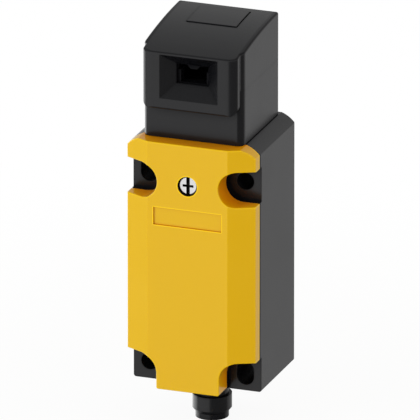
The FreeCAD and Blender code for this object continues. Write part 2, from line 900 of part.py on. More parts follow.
def make_plug_body():
    """Threaded shank in the foot, spanner hexagon, neck, coupling thread and nose, bored for the pins."""
    seal_low = sole - plug_seal_thick
    hexagon_low = seal_low - hexagon_height
    corner = hexagon_flats / math.sqrt(3)
    turns = [math.radians(60 * index) for index in range(6)]
    points = [vec(corner * math.cos(turn), plug_y + corner * math.sin(turn), hexagon_low) for turn in turns]
    bevel_top = vec(0, plug_y, foot + thread_end)
    bevel = Part.makeCone(thread_radius, nose_radius, thread_end - nose_top, bevel_top, vec(0, 0, -1))
    turned = [
        (bore_radius - running_gap, seal_low, foot + bore_height - bore_end_gap),
        (neck_radius, foot + thread_top, hexagon_low),
        (thread_radius, foot + thread_end, foot + thread_top),
        (nose_radius, foot + plug_end, foot + nose_top),
    ]
    solids = [upright(radius, low, high, 0, plug_y) for radius, low, high in turned]
    solids += [bevel, prism(points, vec(0, 0, hexagon_height))]
    socket = upright(socket_radius, foot + plug_end - 1, foot + bore_height + 1, 0, plug_y)
    return joined(solids).cut(socket)


def pin_places():
    """Centres of the four pins."""
    turns = [math.radians(45 + 90 * index) for index in range(4)]
    return [(pin_circle * math.cos(turn), plug_y + pin_circle * math.sin(turn)) for turn in turns]


def make_plug_insert():
    insert = upright(socket_radius, foot + socket_floor, foot + bore_height - bore_end_gap, 0, plug_y)
    pins = [upright(pin_radius, foot + plug_end, foot + bore_height + 1, x, y) for x, y in pin_places()]
    return insert.cut(pins)


def make_plug_pins():
    pins = []
    tip = foot + plug_end + pin_sunk
    for x, y in pin_places():
        pin = upright(pin_radius, tip, foot + bore_height, x, y)
        pins.append(rounded(pin, pin_round, lambda edge: abs(edge.CenterOfMass.z - tip) < 0.01))
    return Part.makeCompound(pins)


def make_plug_seal():
    return ring(bore_radius, hexagon_flats / 2 - bore_end_gap, sole - plug_seal_thick, sole, plug_y)


def bent_path(points, radius):
    """Straight runs through the points, with a round bend at each corner."""
    edges = []
    start = points[0]
    for before, corner, after in zip(points, points[1:], points[2:]):
        inward, outward = (before - corner).normalize(), (after - corner).normalize()
        half = inward.getAngle(outward) / 2
        reach = radius / math.tan(half)
        enter, leave = corner + inward * reach, corner + outward * reach
        middle = corner + (inward + outward).normalize() * (radius / math.sin(half) - radius)
        edges += [Part.LineSegment(start, enter).toShape(), Part.Arc(enter, middle, leave).toShape()]
        start = leave
    edges.append(Part.LineSegment(start, points[-1]).toShape())
    return Part.Wire(edges)


def lead(points):
    """A round lead along a bent path."""
    path = bent_path(points, lead_bend)
    circle = Part.Wire(Part.makeCircle(lead_radius, points[0], points[1] - points[0]))
    return path.makePipeShell([circle], True, True)


def make_lead_wires():
    """Each terminal's lead runs down beside the block and in to its pin."""
    y = block_front - strip_thick - lead_radius - lead_gap
    lower, upper = [strip_height(level) - terminal_head_radius - lead_gap for level in contact_levels]
    clear_x = block_half + lead_aside
    near = plug_y - pin_circle * math.sin(math.radians(45))
    far = plug_y + pin_circle * math.sin(math.radians(45))
    pin_x = pin_circle * math.cos(math.radians(45))
    end = foot + bore_height + running_gap
    low_turn, high_turn = foot + lead_low_turn, foot + lead_high_turn
    short = lead([
        vec(terminal_x, y, lower),
        vec(terminal_x, y, low_turn),
        vec(pin_x, near, low_turn),
        vec(pin_x, near, end),
    ])
    long = lead([
        vec(terminal_x, y, upper),
        vec(terminal_x, y, upper - lead_step),
        vec(clear_x, y, upper - 2 * lead_step),
        vec(clear_x, y, high_turn),
        vec(pin_x, far, high_turn),
        vec(pin_x, far, end),
    ])
    return Part.makeCompound(both_sides(short) + both_sides(long))


os.makedirs("parts", exist_ok=True)
fixed_contacts = make_fixed_contacts()
terminal_screws = make_terminal_screws()
pieces = {
    "enclosure": make_enclosure(),
    "head_retaining_clip": make_head_retaining_clip(),
    "head_seal": make_head_seal(),
    "plunger_seal": make_plunger_seal(),
    "contact_block_base": make_contact_block_base(fixed_contacts, terminal_screws),
    "contact_block_cover": make_contact_block_cover(),
    "fixed_contacts": fixed_contacts,
    "terminal_clamps": make_terminal_clamps(),
    "terminal_screws": terminal_screws,
    "return_spring": make_return_spring(),
    "lead_wires": make_lead_wires(),
    "plug_body": make_plug_body(),
    "plug_insert": make_plug_insert(),
    "plug_pins": make_plug_pins(),
    "plug_seal": make_plug_seal(),
    "front_cover": make_front_cover(),
    "cover_seal": seal_band(cover_back - seal_depth, rim - running_gap),
    "cover_screw": make_cover_screw(),
    "screw_retainer": make_screw_retainer(),
    "head_base": make_head_base(),
    "head_hood": make_head_hood(),
    "top_entry_cap": make_top_entry_cap(),
    "cam_axle": make_cam_axle(),
    "key_cam": make_key_cam(),
    "plunger": make_plunger(),
    "contact_carrier": make_contact_carrier(),
    "contact_bridges": make_contact_bridges(),
    "bridge_springs": make_bridge_springs(),
}
for name, shape in pieces.items():
    save(shape, name)
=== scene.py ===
# %% [markdown]
# # A safety switch and its portrait
# The switch guards a machine door: a coded key on the door goes into the slot of its head, turns a
# cam and closes the contacts below. Its solids come from a CAD model and stay exactly as they are.
# Blender adds what a solid model cannot say: what each piece is made of and how light meets it.
# The lesson starts with the imported solids. Nodes are the single pieces, bodies are the groups that
# move together, and the box of the whole model is measured.

# %% Load the solids
import math

import bpy
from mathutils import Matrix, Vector


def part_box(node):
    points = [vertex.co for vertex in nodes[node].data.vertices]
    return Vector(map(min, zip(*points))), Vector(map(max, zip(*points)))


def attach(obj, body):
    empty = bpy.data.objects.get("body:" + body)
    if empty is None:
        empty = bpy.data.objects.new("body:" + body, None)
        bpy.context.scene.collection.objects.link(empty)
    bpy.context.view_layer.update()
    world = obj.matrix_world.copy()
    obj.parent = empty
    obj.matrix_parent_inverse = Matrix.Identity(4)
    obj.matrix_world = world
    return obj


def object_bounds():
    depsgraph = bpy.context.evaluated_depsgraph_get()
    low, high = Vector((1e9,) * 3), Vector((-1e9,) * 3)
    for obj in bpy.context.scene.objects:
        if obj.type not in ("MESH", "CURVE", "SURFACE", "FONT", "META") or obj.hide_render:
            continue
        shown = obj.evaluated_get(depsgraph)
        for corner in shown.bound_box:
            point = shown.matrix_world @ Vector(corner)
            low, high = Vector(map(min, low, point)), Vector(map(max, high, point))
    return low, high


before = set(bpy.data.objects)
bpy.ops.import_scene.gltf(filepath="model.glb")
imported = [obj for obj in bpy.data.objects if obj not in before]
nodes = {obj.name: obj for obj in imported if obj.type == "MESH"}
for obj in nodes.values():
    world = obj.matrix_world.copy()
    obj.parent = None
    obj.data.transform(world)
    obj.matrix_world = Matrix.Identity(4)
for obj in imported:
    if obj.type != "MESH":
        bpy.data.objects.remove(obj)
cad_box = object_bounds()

MM = 0.001
print("box in millimetres:", [round(side / MM, 1) for side in cad_box[1] - cad_box[0]])

# %% [markdown]
# ## The camera
# A catalogue picture of a small part is taken from far away with a very long lens, so that upright
# edges stay parallel. An orthographic camera would do the same, but a perspective camera with a
# long lens also keeps its framing when someone walks round the object with it.
# The camera stands 20 degrees to the right of the cover and 20 degrees above it.

# %% Place the camera
LENS_MM = 1500
SENSOR_MM = 36
VIEW_TURN = math.radians(20)
VIEW_HEIGHT = math.radians(20)
VIEW_WIDTH = 123.45 * MM
VIEW_CENTRE = Vector((-0.08, -17.7, 15.4)) * MM

camera_data = bpy.data.cameras.new("portrait_camera")
camera_data.lens = LENS_MM
camera_data.sensor_width = SENSOR_MM
camera = bpy.data.objects.new("portrait_camera", camera_data)
bpy.context.scene.collection.objects.link(camera)
bpy.context.scene.camera = camera
towards_camera = Vector((
    math.sin(VIEW_TURN) * math.cos(VIEW_HEIGHT),
    -math.cos(VIEW_TURN) * math.cos(VIEW_HEIGHT),
    math.sin(VIEW_HEIGHT),
))
camera.location = VIEW_CENTRE + towards_camera * VIEW_WIDTH * LENS_MM / SENSOR_MM
camera.rotation_euler = (-towards_camera).to_track_quat("-Z", "Y").to_euler()
bpy.context.scene.view_settings.view_transform = "Standard"
print("camera distance in metres:", round((camera.location - VIEW_CENTRE).length, 2))

# %% [markdown]
# ## Small helpers for node trees
# Every finish below is a tree of nodes round one Principled shader. Writing it by hand takes several
# lines for each node, its settings and its links. Node groups could bundle them, but plain functions
# are read from top to bottom. They make a node, start a material, combine two values, turn a measure
# into a mask from zero to one, mix two numbers or two colours by a mask, and read coordinates.

# %% Node helpers
def add_node(tree, kind, settings=None, **values):
    """Make a node; settings are its own options, values are its inputs by name."""
    node = tree.nodes.new(kind)
    for name, value in (settings or {}).items():
        setattr(node, name, value)
    for name, value in values.items():
        node.inputs[name.replace("_", " ")].default_value = value
    return node


def new_finish(name):
    """Start a material; gives back the material, its node tree and its main shader."""
    material = bpy.data.materials.new(name)
    material.use_nodes = True
    tree = material.node_tree
    return material, tree, tree.nodes["Principled BSDF"]


def combined(tree, operation, first, second):
    """One value from two sockets."""
    node = add_node(tree, "ShaderNodeMath", {"operation": operation})
    tree.links.new(first, node.inputs[0])
    tree.links.new(second, node.inputs[1])
    return node.outputs[0]


def ramp(tree, measure, start, full, kind="LINEAR"):
    """A mask that is zero where a measure starts and one where it is full."""
    node = add_node(tree, "ShaderNodeMapRange", {"interpolation_type": kind}, From_Min=start, From_Max=full)
    tree.links.new(measure, node.inputs["Value"])
    return node.outputs[0]


def between(tree, mask, first, second):
    """A number between two others by a mask; each may be a socket or a plain number."""
    mix = add_node(tree, "ShaderNodeMix")
    tree.links.new(mask, mix.inputs["Factor"])
    for socket, number in ((mix.inputs["A"], first), (mix.inputs["B"], second)):
        if isinstance(number, float):
            socket.default_value = number
        else:
            tree.links.new(number, socket)
    return mix.outputs["Result"]


def mixed(tree, mask, first, second):
    """A colour between two others by a mask; each may be a socket or three plain numbers."""
    mix = add_node(tree, "ShaderNodeMix", {"data_type": "RGBA"})
    tree.links.new(mask, mix.inputs[0])
    for socket, colour in ((mix.inputs[6], first), (mix.inputs[7], second)):
        if isinstance(colour, tuple):
            socket.default_value = (*colour, 1)
        else:
            tree.links.new(colour, socket)
    return mix.outputs[2]


def own_axes(tree, kind="Object"):
    """X, Y and Z of a point's place in its object, of its normal, or in the world of a ray's direction."""
    place = add_node(tree, "ShaderNodeTexCoord")
    axes = add_node(tree, "ShaderNodeSeparateXYZ")
    tree.links.new(place.outputs[kind], axes.inputs[0])
    return axes.outputs["X"], axes.outputs["Y"], axes.outputs["Z"]


print("helpers ready")

# %% [markdown]
# ## The floor
# The switch stands over a wide sheet of pale paper that bounces light up into the notches and under
# the nose. One large square is enough. It is left out of the gloss, where the studio further down
# takes its place.

# %% Floor
FLOOR_HALF = 3.0
FLOOR_GAP = 0.2 * MM

floor_z = cad_box[0].z - FLOOR_GAP
floor_mesh = bpy.data.meshes.new("floor")
corners = [(x * FLOOR_HALF, y * FLOOR_HALF, floor_z) for x, y in ((-1, -1), (1, -1), (1, 1), (-1, 1))]
floor_mesh.from_pydata(corners, [], [(0, 1, 2, 3)])
floor = bpy.data.objects.new("floor", floor_mesh)
bpy.context.scene.collection.objects.link(floor)
floor.visible_glossy = False
print("floor at", round(floor_z / MM, 1), "mm")

# %% [markdown]
# ## The floor's paper
# The picture has a plain white ground. More light would whiten the paper, but the switch with it. So the
# camera sees the paper almost pure white, with a little of its real shading mixed in close to the
# object, which keeps the soft shadow. Further out the shading fades to plain white, so the paper ends
# nowhere in any view.

# %% Floor paper
FLOOR_WHITE = 0.85
FLOOR_ROUGHNESS = 0.9
FLOOR_SHADE = 0.07
SHADE_NEAR = 0.05
SHADE_FAR = 0.22


def ground_mask(tree):
    """One for rays from the camera, through glass and off gloss; zero for rays that light matt surfaces."""
    path = add_node(tree, "ShaderNodeLightPath")
    direct = combined(tree, "MAXIMUM", path.outputs["Is Camera Ray"], path.outputs["Is Transmission Ray"])
    return combined(tree, "MAXIMUM", direct, path.outputs["Is Glossy Ray"])


paper, tree, shader = new_finish("floor_paper")
shader.inputs["Base Color"].default_value = (FLOOR_WHITE, FLOOR_WHITE, FLOOR_WHITE, 1)
shader.inputs["Roughness"].default_value = FLOOR_ROUGHNESS
shader.inputs["Specular IOR Level"].default_value = 0
place = add_node(tree, "ShaderNodeTexCoord")
distance = add_node(tree, "ShaderNodeVectorMath", {"operation": "LENGTH"})
tree.links.new(place.outputs["Object"], distance.inputs[0])
far_out = ramp(tree, distance.outputs["Value"], SHADE_NEAR, SHADE_FAR, "SMOOTHSTEP")
whiteness = between(tree, far_out, 1 - FLOOR_SHADE, 1.0)
glow = add_node(tree, "ShaderNodeEmission", Strength=1.0)
mix = add_node(tree, "ShaderNodeMixShader")
tree.links.new(combined(tree, "MULTIPLY", ground_mask(tree), whiteness), mix.inputs["Fac"])
tree.links.new(shader.outputs[0], mix.inputs[1])
tree.links.new(glow.outputs[0], mix.inputs[2])
tree.links.new(mix.outputs[0], tree.nodes["Material Output"].inputs["Surface"])
floor_mesh.materials.append(paper)
print("share of real shading near the object:", FLOOR_SHADE)

# %% [markdown]
# ## The studio in the gloss
# Black plastic has almost no colour of its own: its shape is read from the room in its gloss. With white
# all round, its roof and right side come out pale and its dark corners are lost. So a photographer hangs
# grey cloth round the set, leaves a white card in front and puts a black flag on the right. The card
# greys the front faces, the flag draws the dark right corners, and the cloth gives the roof and the
# right side their mid grey. A second, brighter card far back on the left draws the thin light line down
# the left corners, and it is dark straight below, in the shadow of the object, so every lower edge gets
# a dark line. Panels round the object could do this. The world shader does it by direction: a dot
# product with the direction of a card or the flag tells how near a ray passes to it. A spread below
# gives that product where a card starts and where it is full.

# %% Studio in the gloss
UP = (0, 0, 1)
DOWN = (0, 0, -1)
CLOTH = 0.55
CEILING = 0.32
CEILING_SPREAD = (0.25, 0.8)
CARD_TOWARDS = (-0.4, -0.85, -0.34)
CARD_SPREAD = (0.7, 0.94)
CARD_GAIN = 0.41
RIM_TOWARDS = (-0.85, 0.4, -0.34)
RIM_SPREAD = (0.77, 0.87)
RIM_GAIN = 1.9
FLAG_TOWARDS = (0.883, -0.469, 0.0)
FLAG_SPREAD = (0.47, 0.56)
FLAG_DROP = (0.1, 0.28)
FLAG_SHARE = 0.4
BELOW_SPREAD = (0.25, 0.75)
BELOW_SHARE = 0.2

world = bpy.data.worlds.new("studio")
bpy.context.scene.world = world
world.use_nodes = True
tree = world.node_tree
tree.nodes.clear()
direction = add_node(tree, "ShaderNodeTexCoord").outputs["Generated"]


def nearness(towards, spread):
    """Zero away from a direction of the room and one close to it, with a smooth step between."""
    dot = add_node(tree, "ShaderNodeVectorMath", {"operation": "DOT_PRODUCT"})
    dot.inputs[1].default_value = towards
    tree.links.new(direction, dot.inputs[0])
    return ramp(tree, dot.outputs["Value"], *spread, "SMOOTHSTEP")


cloth = between(tree, nearness(UP, CEILING_SPREAD), CLOTH, CEILING)
card = between(tree, nearness(CARD_TOWARDS, CARD_SPREAD), 0.0, CARD_GAIN)
rim = between(tree, nearness(RIM_TOWARDS, RIM_SPREAD), 0.0, RIM_GAIN)
on_flag = combined(tree, "MULTIPLY", nearness(FLAG_TOWARDS, FLAG_SPREAD), nearness(DOWN, FLAG_DROP))
flag = between(tree, on_flag, 1.0, FLAG_SHARE)
below = between(tree, nearness(DOWN, BELOW_SPREAD), 1.0, BELOW_SHARE)
bright = combined(tree, "ADD", cloth, combined(tree, "ADD", card, rim))
room = combined(tree, "MULTIPLY", bright, combined(tree, "MULTIPLY", flag, below))
print("room: cloth", CLOTH, "card", round(CLOTH + CARD_GAIN, 2), "flag", round(CLOTH * FLAG_SHARE, 2))

# %% [markdown]
# ## The white ground and the even light
# Three kinds of rays reach the world. The camera looks past the floor at plain white, gloss sees the
# studio of the last step, and matt surfaces get even light, less from the top than from the sides, a
# touch cooler from a window on the left and warmer from the right. One picture of the room could not be
# all three, so the light path of each ray picks one of them.

# %% Ground and even light
AMBIENT_SIDE = 0.97
AMBIENT_TOP = 0.7
WINDOW_LEFT = (0.92, 1.08, 1.05)
WARM_RIGHT = (1.08, 0.92, 0.85)

sideways, _, upwards = own_axes(tree, "Generated")
in_gloss = add_node(tree, "ShaderNodeLightPath").outputs["Is Glossy Ray"]
ground_light = add_node(tree, "ShaderNodeBackground", Color=(1, 1, 1, 1))
tree.links.new(between(tree, in_gloss, 1.0, room), ground_light.inputs["Strength"])
even_light = add_node(tree, "ShaderNodeBackground")
tint = mixed(tree, ramp(tree, sideways, -1.0, 1.0), WINDOW_LEFT, WARM_RIGHT)
tree.links.new(tint, even_light.inputs["Color"])
tree.links.new(between(tree, upwards, AMBIENT_SIDE, AMBIENT_TOP), even_light.inputs["Strength"])
both = add_node(tree, "ShaderNodeMixShader")
output = add_node(tree, "ShaderNodeOutputWorld")
tree.links.new(ground_mask(tree), both.inputs["Fac"])
tree.links.new(even_light.outputs[0], both.inputs[1])
tree.links.new(ground_light.outputs[0], both.inputs[2])
tree.links.new(both.outputs[0], output.inputs["Surface"])
print("even light: sides", AMBIENT_SIDE, "top", AMBIENT_TOP)

# %% [markdown]
# ## The lamp
# One large soft box stands low in front and to the left. It lifts the cover's front and its left
# slope above the right side and the top. Its own mirror image would be a hot patch on the satin
# plastic, so it is left out of the gloss, as a photographer does with a polarising sheet.

# %% Lamp
BOX_PLACE = Vector((-0.78, -1.0, 0.36))
BOX_SIZE = 0.8
BOX_POWER = 5.9

lamp = bpy.data.lights.new("key_box", "AREA")
lamp.size = BOX_SIZE
lamp.energy = BOX_POWER
soft_box = bpy.data.objects.new("key_box", lamp)
bpy.context.scene.collection.objects.link(soft_box)
soft_box.location = BOX_PLACE
soft_box.rotation_euler = (BOX_PLACE - VIEW_CENTRE).to_track_quat("Z", "Y").to_euler()
soft_box.visible_glossy = False
print("lamp distance in metres:", round((BOX_PLACE - VIEW_CENTRE).length, 2))

# %% [markdown]
# ## Moulded plastic
# Housing, head and cover are injection mouldings. Their surface copies the steel mould: a very fine
# spark-eroded grain, broad patches that are a touch shinier, and lighter edges: rubbed on most pieces, a
# painted highlight on the yellow cover.
# The grain is noise far finer than a millimetre that drives a bump, the patches are slow noise that
# drives colour and roughness. Edges could be painted by hand. Here an ambient occlusion node finds them
# by looking into the plastic instead of out of it: near an edge the next face is close behind the
# surface, on a flat face it is far.

# %% Moulded plastic
LOOK_SAMPLES = 8
EDGE_LIMITS = (0.96, 0.72)
EDGE_REACH = 0.5 * MM
PATCH_SCALE = 70.0
GRAIN_SCALE = 6000.0
GRAIN_STRENGTH = 0.2
GRAIN_DEPTH = 0.004 * MM
NOISE_LIMITS = (0.3, 0.7)


def closeness(tree, reach, open_at, closed_at, **settings):
    """Zero in the open, one where other surfaces within reach close a spot in."""
    options = {"samples": LOOK_SAMPLES, **settings}
    around = add_node(tree, "ShaderNodeAmbientOcclusion", options, Distance=reach)
    return ramp(tree, around.outputs["AO"], open_at, closed_at)


def edge_mask(tree, reach):
    """One along outward edges: looking into the plastic from there, the next face is near."""
    return closeness(tree, reach, *EDGE_LIMITS, inside=True, only_local=True)


def moulded(name, shade, patch, edge, roughness, edge_reach=EDGE_REACH):
    """A moulded plastic from three colours: the main shade, its slow patches and its lighter edges, wear on
    most pieces and a painted highlight on the yellow cover.
    """
    material, tree, shader = new_finish(name)
    place = add_node(tree, "ShaderNodeTexCoord")
    slow = add_node(tree, "ShaderNodeTexNoise", Scale=PATCH_SCALE, Detail=3.0, Roughness=0.55)
    fine = add_node(tree, "ShaderNodeTexNoise", Scale=GRAIN_SCALE, Detail=2.0, Roughness=0.5)
    for noise in (slow, fine):
        tree.links.new(place.outputs["Object"], noise.inputs["Vector"])
    body = mixed(tree, slow.outputs["Fac"], shade, patch)
    # Lighter edges: wear on most finishes, a painted highlight on the yellow cover.
    colour = mixed(tree, edge_mask(tree, edge_reach), body, edge)
    shine = between(tree, ramp(tree, slow.outputs["Fac"], *NOISE_LIMITS), *roughness)
    bump = add_node(tree, "ShaderNodeBump", Strength=GRAIN_STRENGTH, Distance=GRAIN_DEPTH)
    tree.links.new(colour, shader.inputs["Base Color"])
    tree.links.new(shine, shader.inputs["Roughness"])
    tree.links.new(fine.outputs["Fac"], bump.inputs["Height"])
    tree.links.new(bump.outputs[0], shader.inputs["Normal"])
    return material


def dress(material, *names):
    """Give CAD pieces a finish."""
    for name in names:
        mesh = nodes[name].data
        mesh.materials.clear()
        mesh.materials.append(material)
    print(material.name, "on", ", ".join(names))


print("moulded plastic ready")

# %% [markdown]
# ## Black, grey and white mouldings
# The housing, the head and the plug are black, the contact block is grey and the plunger white. On the
# black pieces gloss is most of what is seen, so its level is lowered along edges and in hollows, a
# painted shade that darkens them. One level of gloss for the whole piece would leave the notches too
# light. The masks for edges and for closed-in spots set it instead.

# %% Black, grey and white plastic
BLACK_SHADE = (0.0045, 0.0046, 0.006)
BLACK_PATCH = (0.006, 0.0061, 0.0075)
BLACK_EDGE = (0.0085, 0.0086, 0.01)
BLACK_ROUGHNESS = (0.19, 0.24)
BLACK_GLOSS = 0.48
EDGE_SHADE_GLOSS = 0.345
EDGE_SHADE_REACH = 0.6 * MM
HOLLOW_SHADE_GLOSS = 0.06
HOLLOW_SHADE_REACH = 6 * MM
HOLLOW_SHADE_LIMITS = (0.9, 0.3)


def black_plastic(name, hollow_shade_gloss):
    """The black moulding, its gloss lowered along edges and in hollows as painted shade."""
    material = moulded(name, BLACK_SHADE, BLACK_PATCH, BLACK_EDGE, BLACK_ROUGHNESS)
    tree = material.node_tree
    # Painted shade: the gloss level drops along edges and in closed-in spots, which darkens them.
    open_gloss = between(tree, edge_mask(tree, EDGE_SHADE_REACH), BLACK_GLOSS, EDGE_SHADE_GLOSS)
    gloss = between(tree, closeness(tree, HOLLOW_SHADE_REACH, *HOLLOW_SHADE_LIMITS), open_gloss, hollow_shade_gloss)
    tree.links.new(gloss, tree.nodes["Principled BSDF"].inputs["Specular IOR Level"])
    return material


black = black_plastic("black_moulding", HOLLOW_SHADE_GLOSS)
dress(black, "enclosure", "head_base", "top_entry_cap", "plug_body", "plug_insert")
grey = moulded("grey_moulding", (0.16, 0.17, 0.18), (0.19, 0.2, 0.21), (0.26, 0.27, 0.28), (0.4, 0.52))
dress(grey, "contact_block_base", "contact_block_cover", "screw_retainer")
white = moulded("white_moulding", (0.7, 0.69, 0.64), (0.76, 0.75, 0.71), (0.8, 0.79, 0.75), (0.35, 0.48))
dress(white, "plunger", "contact_carrier")

# %% [markdown]
# ## Painted shade in the key slot, dark bands on the roof
# Past the bottom of the funnel the hood's gloss is cut to a tenth, a painted shade that makes the slot
# almost black and also hides the tooth that hangs into the slot. On the real hood the two long edges of
# the roof show as dark bands. The roundings of the solid are too narrow for that, so a duller gloss
# draws the bands, a painted shade as well.
# The hood gets a black finish of its own from the same function, a little less dull in its hollows.
# Limits in its own space mark both places: each limit is a short ramp from zero to one, and the product
# of a place's limits is one only inside all of them.

# %% Key slot and roof bands
HOOD_HOLLOW_SHADE_GLOSS = 0.21
SLOT_FROM = 3.3 * MM
SLOT_TO = 12 * MM
SLOT_HALF = 5.1 * MM
SLOT_TOP = 66 * MM
SLOT_RAMP = 0.3 * MM
SLOT_SIDE_RAMP = 0.2 * MM
SLOT_END_RAMP = 1 * MM
SLOT_SHADE_SHARE = 0.1
BAND_WIDTH = 1.5 * MM
BAND_RAMP = 0.3 * MM
BAND_FACING = (0.3, 0.6)
BAND_SHARE = 0.5


def magnitude(tree, value):
    """A value without its sign."""
    node = add_node(tree, "ShaderNodeMath", {"operation": "ABSOLUTE"})
    tree.links.new(value, node.inputs[0])
    return node.outputs[0]


def inside(tree, *limits):
    """One inside all limits; a limit is a measure, where it starts and where it is full."""
    mask = ramp(tree, *limits[0])
    for limit in limits[1:]:
        mask = combined(tree, "MULTIPLY", mask, ramp(tree, *limit))
    return mask


hood_low, hood_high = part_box("head_hood")
slot_from = hood_low.y + SLOT_FROM
slot_to = hood_low.y + SLOT_TO
band_from = hood_high.x - BAND_WIDTH
slot_shaded = black_plastic("slot_shaded_black", HOOD_HOLLOW_SHADE_GLOSS)
tree = slot_shaded.node_tree
gloss = tree.nodes["Principled BSDF"].inputs["Specular IOR Level"]
sideways, depth, height = own_axes(tree)
across = magnitude(tree, sideways)
upturned = own_axes(tree, "Normal")[2]
slot_shade_mask = inside(
    tree,
    (depth, slot_from, slot_from + SLOT_RAMP),
    (depth, slot_to + SLOT_END_RAMP, slot_to),
    (across, SLOT_HALF + SLOT_SIDE_RAMP, SLOT_HALF),
    (height, SLOT_TOP + SLOT_RAMP, SLOT_TOP),
)
on_band = inside(
    tree,
    (across, band_from, band_from + BAND_RAMP),
    (upturned, *BAND_FACING),
)
# Painted shade: the gloss is cut in the key slot and along the roof's long edges.
for mask, share in ((slot_shade_mask, SLOT_SHADE_SHARE), (on_band, BAND_SHARE)):
    kept = between(tree, mask, 1.0, share)
    tree.links.new(combined(tree, "MULTIPLY", gloss.links[0].from_socket, kept), gloss)
dress(slot_shaded, "head_hood")

# %% [markdown]
# ## The yellow cover
# The cover is the same moulding in signal yellow, but the walls of its hollows are painted a deeper
# orange, a painted shade for light that bounces between yellow walls, loses blue and green each time
# and partly goes through the plastic itself. An ambient occlusion node measures how closed in a
# spot is, and the object's own normal tells walls from floors: only a wall turns from the front.
# A second one with a very short reach finds the inner corners of the plate, where a thin dark line is
# painted in as shade. The edges are a lighter, clear yellow, a painted highlight.

# %% Yellow plastic
YELLOW_SHADE = (0.735, 0.432, 0.0)
YELLOW_PATCH = (0.755, 0.446, 0.001)
YELLOW_EDGE_HIGHLIGHT = (1.0, 0.67, 0.0)
YELLOW_ROUGHNESS = (0.14, 0.19)
YELLOW_HIGHLIGHT_REACH = 0.4 * MM
YELLOW_GLOSS = 0.42
WALL_LIMITS = (0.85, 0.4)
WALL_REACH = 10 * MM
WALL_CLOSED = (0.96, 0.74)
WALL_SHADE_ORANGE = (0.82, 0.3, 0.0)
CORNER_SHADE_REACH = 0.6 * MM
CORNER_SHADE_CLOSED = (0.8, 0.5)
CORNER_SHADE_BROWN = (0.58, 0.2, 0.0)


def lay_over(material, mask, colour):
    """Lay a colour over a finish where a mask is one."""
    tree = material.node_tree
    base = tree.nodes["Principled BSDF"].inputs["Base Color"]
    tree.links.new(mixed(tree, mask, base.links[0].from_socket, colour), base)


# The yellow's edge colour is a painted highlight along the cover's edges.
yellow = moulded(
    "yellow_moulding", YELLOW_SHADE, YELLOW_PATCH, YELLOW_EDGE_HIGHLIGHT, YELLOW_ROUGHNESS, YELLOW_HIGHLIGHT_REACH,
)
tree = yellow.node_tree
tree.nodes["Principled BSDF"].inputs["Specular IOR Level"].default_value = YELLOW_GLOSS
frontal = magnitude(tree, own_axes(tree, "Normal")[1])
# Painted shade: walls of closed-in hollows turn a deeper orange in the base colour.
closed_in = closeness(tree, WALL_REACH, *WALL_CLOSED)
painted_wall_shade = combined(tree, "MULTIPLY", ramp(tree, frontal, *WALL_LIMITS), closed_in)
lay_over(yellow, painted_wall_shade, WALL_SHADE_ORANGE)
# Painted shade: a thin brown line in the inner corners of the plate.
lay_over(yellow, closeness(tree, CORNER_SHADE_REACH, *CORNER_SHADE_CLOSED, only_local=True), CORNER_SHADE_BROWN)
dress(yellow, "front_cover")

# %% [markdown]
# ## Plated steel, spring steel and brass
# Small turned and stamped parts keep the marks of the tools that made them. A metal has no colour of
# its own beneath the reflection, so its look is the roughness. Fine noise makes the marks and drives
# roughness and bump. On spring wire it is stretched along one direction into streaks, as drawing leaves
# them. A slow cloud tints the metal where the plating is duller.

# %% Metals
MARK_SCALE = 2500.0
MARK_STRENGTH = 0.35
MARK_DEPTH = 0.004 * MM
CLOUD_SCALE = 260.0
DRAWN_ALONG_Z = (1, 1, 0.1)


def metal(name, colour, dull, roughness, streak=(1, 1, 1)):
    """A metal with fine tool marks; streak stretches the marks along the small axis."""
    material, tree, shader = new_finish(name)
    shader.inputs["Metallic"].default_value = 1.0
    place = add_node(tree, "ShaderNodeTexCoord")
    stretch = add_node(tree, "ShaderNodeMapping", Scale=streak)
    marks = add_node(tree, "ShaderNodeTexNoise", Scale=MARK_SCALE, Detail=3.0, Roughness=0.6)
    cloud = add_node(tree, "ShaderNodeTexNoise", Scale=CLOUD_SCALE, Detail=2.0, Roughness=0.5)
    tree.links.new(place.outputs["Object"], stretch.inputs["Vector"])
    tree.links.new(stretch.outputs[0], marks.inputs["Vector"])
    tree.links.new(place.outputs["Object"], cloud.inputs["Vector"])
    shine = between(tree, ramp(tree, marks.outputs["Fac"], *NOISE_LIMITS), *roughness)
    bump = add_node(tree, "ShaderNodeBump", Strength=MARK_STRENGTH, Distance=MARK_DEPTH)
    tree.links.new(mixed(tree, cloud.outputs["Fac"], colour, dull), shader.inputs["Base Color"])
    tree.links.new(shine, shader.inputs["Roughness"])
    tree.links.new(marks.outputs["Fac"], bump.inputs["Height"])
    tree.links.new(bump.outputs[0], shader.inputs["Normal"])
    return material


plated = metal("bright_steel", (0.78, 0.79, 0.8), (0.66, 0.67, 0.69), (0.16, 0.32))
dress(plated, "terminal_screws", "terminal_clamps")
blackened = metal("black_steel", (0.03, 0.03, 0.032), (0.02, 0.02, 0.021), (0.4, 0.55))
dress(blackened, "cam_axle", "key_cam")
sprung = metal("spring_steel", (0.55, 0.55, 0.57), (0.42, 0.42, 0.44), (0.25, 0.4), DRAWN_ALONG_Z)
dress(sprung, "return_spring", "bridge_springs", "head_retaining_clip")
brass = metal("contact_brass", (0.78, 0.58, 0.27), (0.68, 0.47, 0.2), (0.2, 0.36))
dress(brass, "fixed_contacts", "contact_bridges", "plug_pins")

# %% [markdown]
# ## The cover screw
# The head of the captive screw is bright, but its slot and cross are painted black as shade, and so is
# the gap round the head: the wall of its recess in the cover is painted black too. Both could be
# painted faces, but a face ends at a sharp edge and this painted shade does not. A mask by depth
# darkens what lies below the bright face, down to where the head ends and the shank begins,
# and the distance from the screw's axis keeps it to the recess.

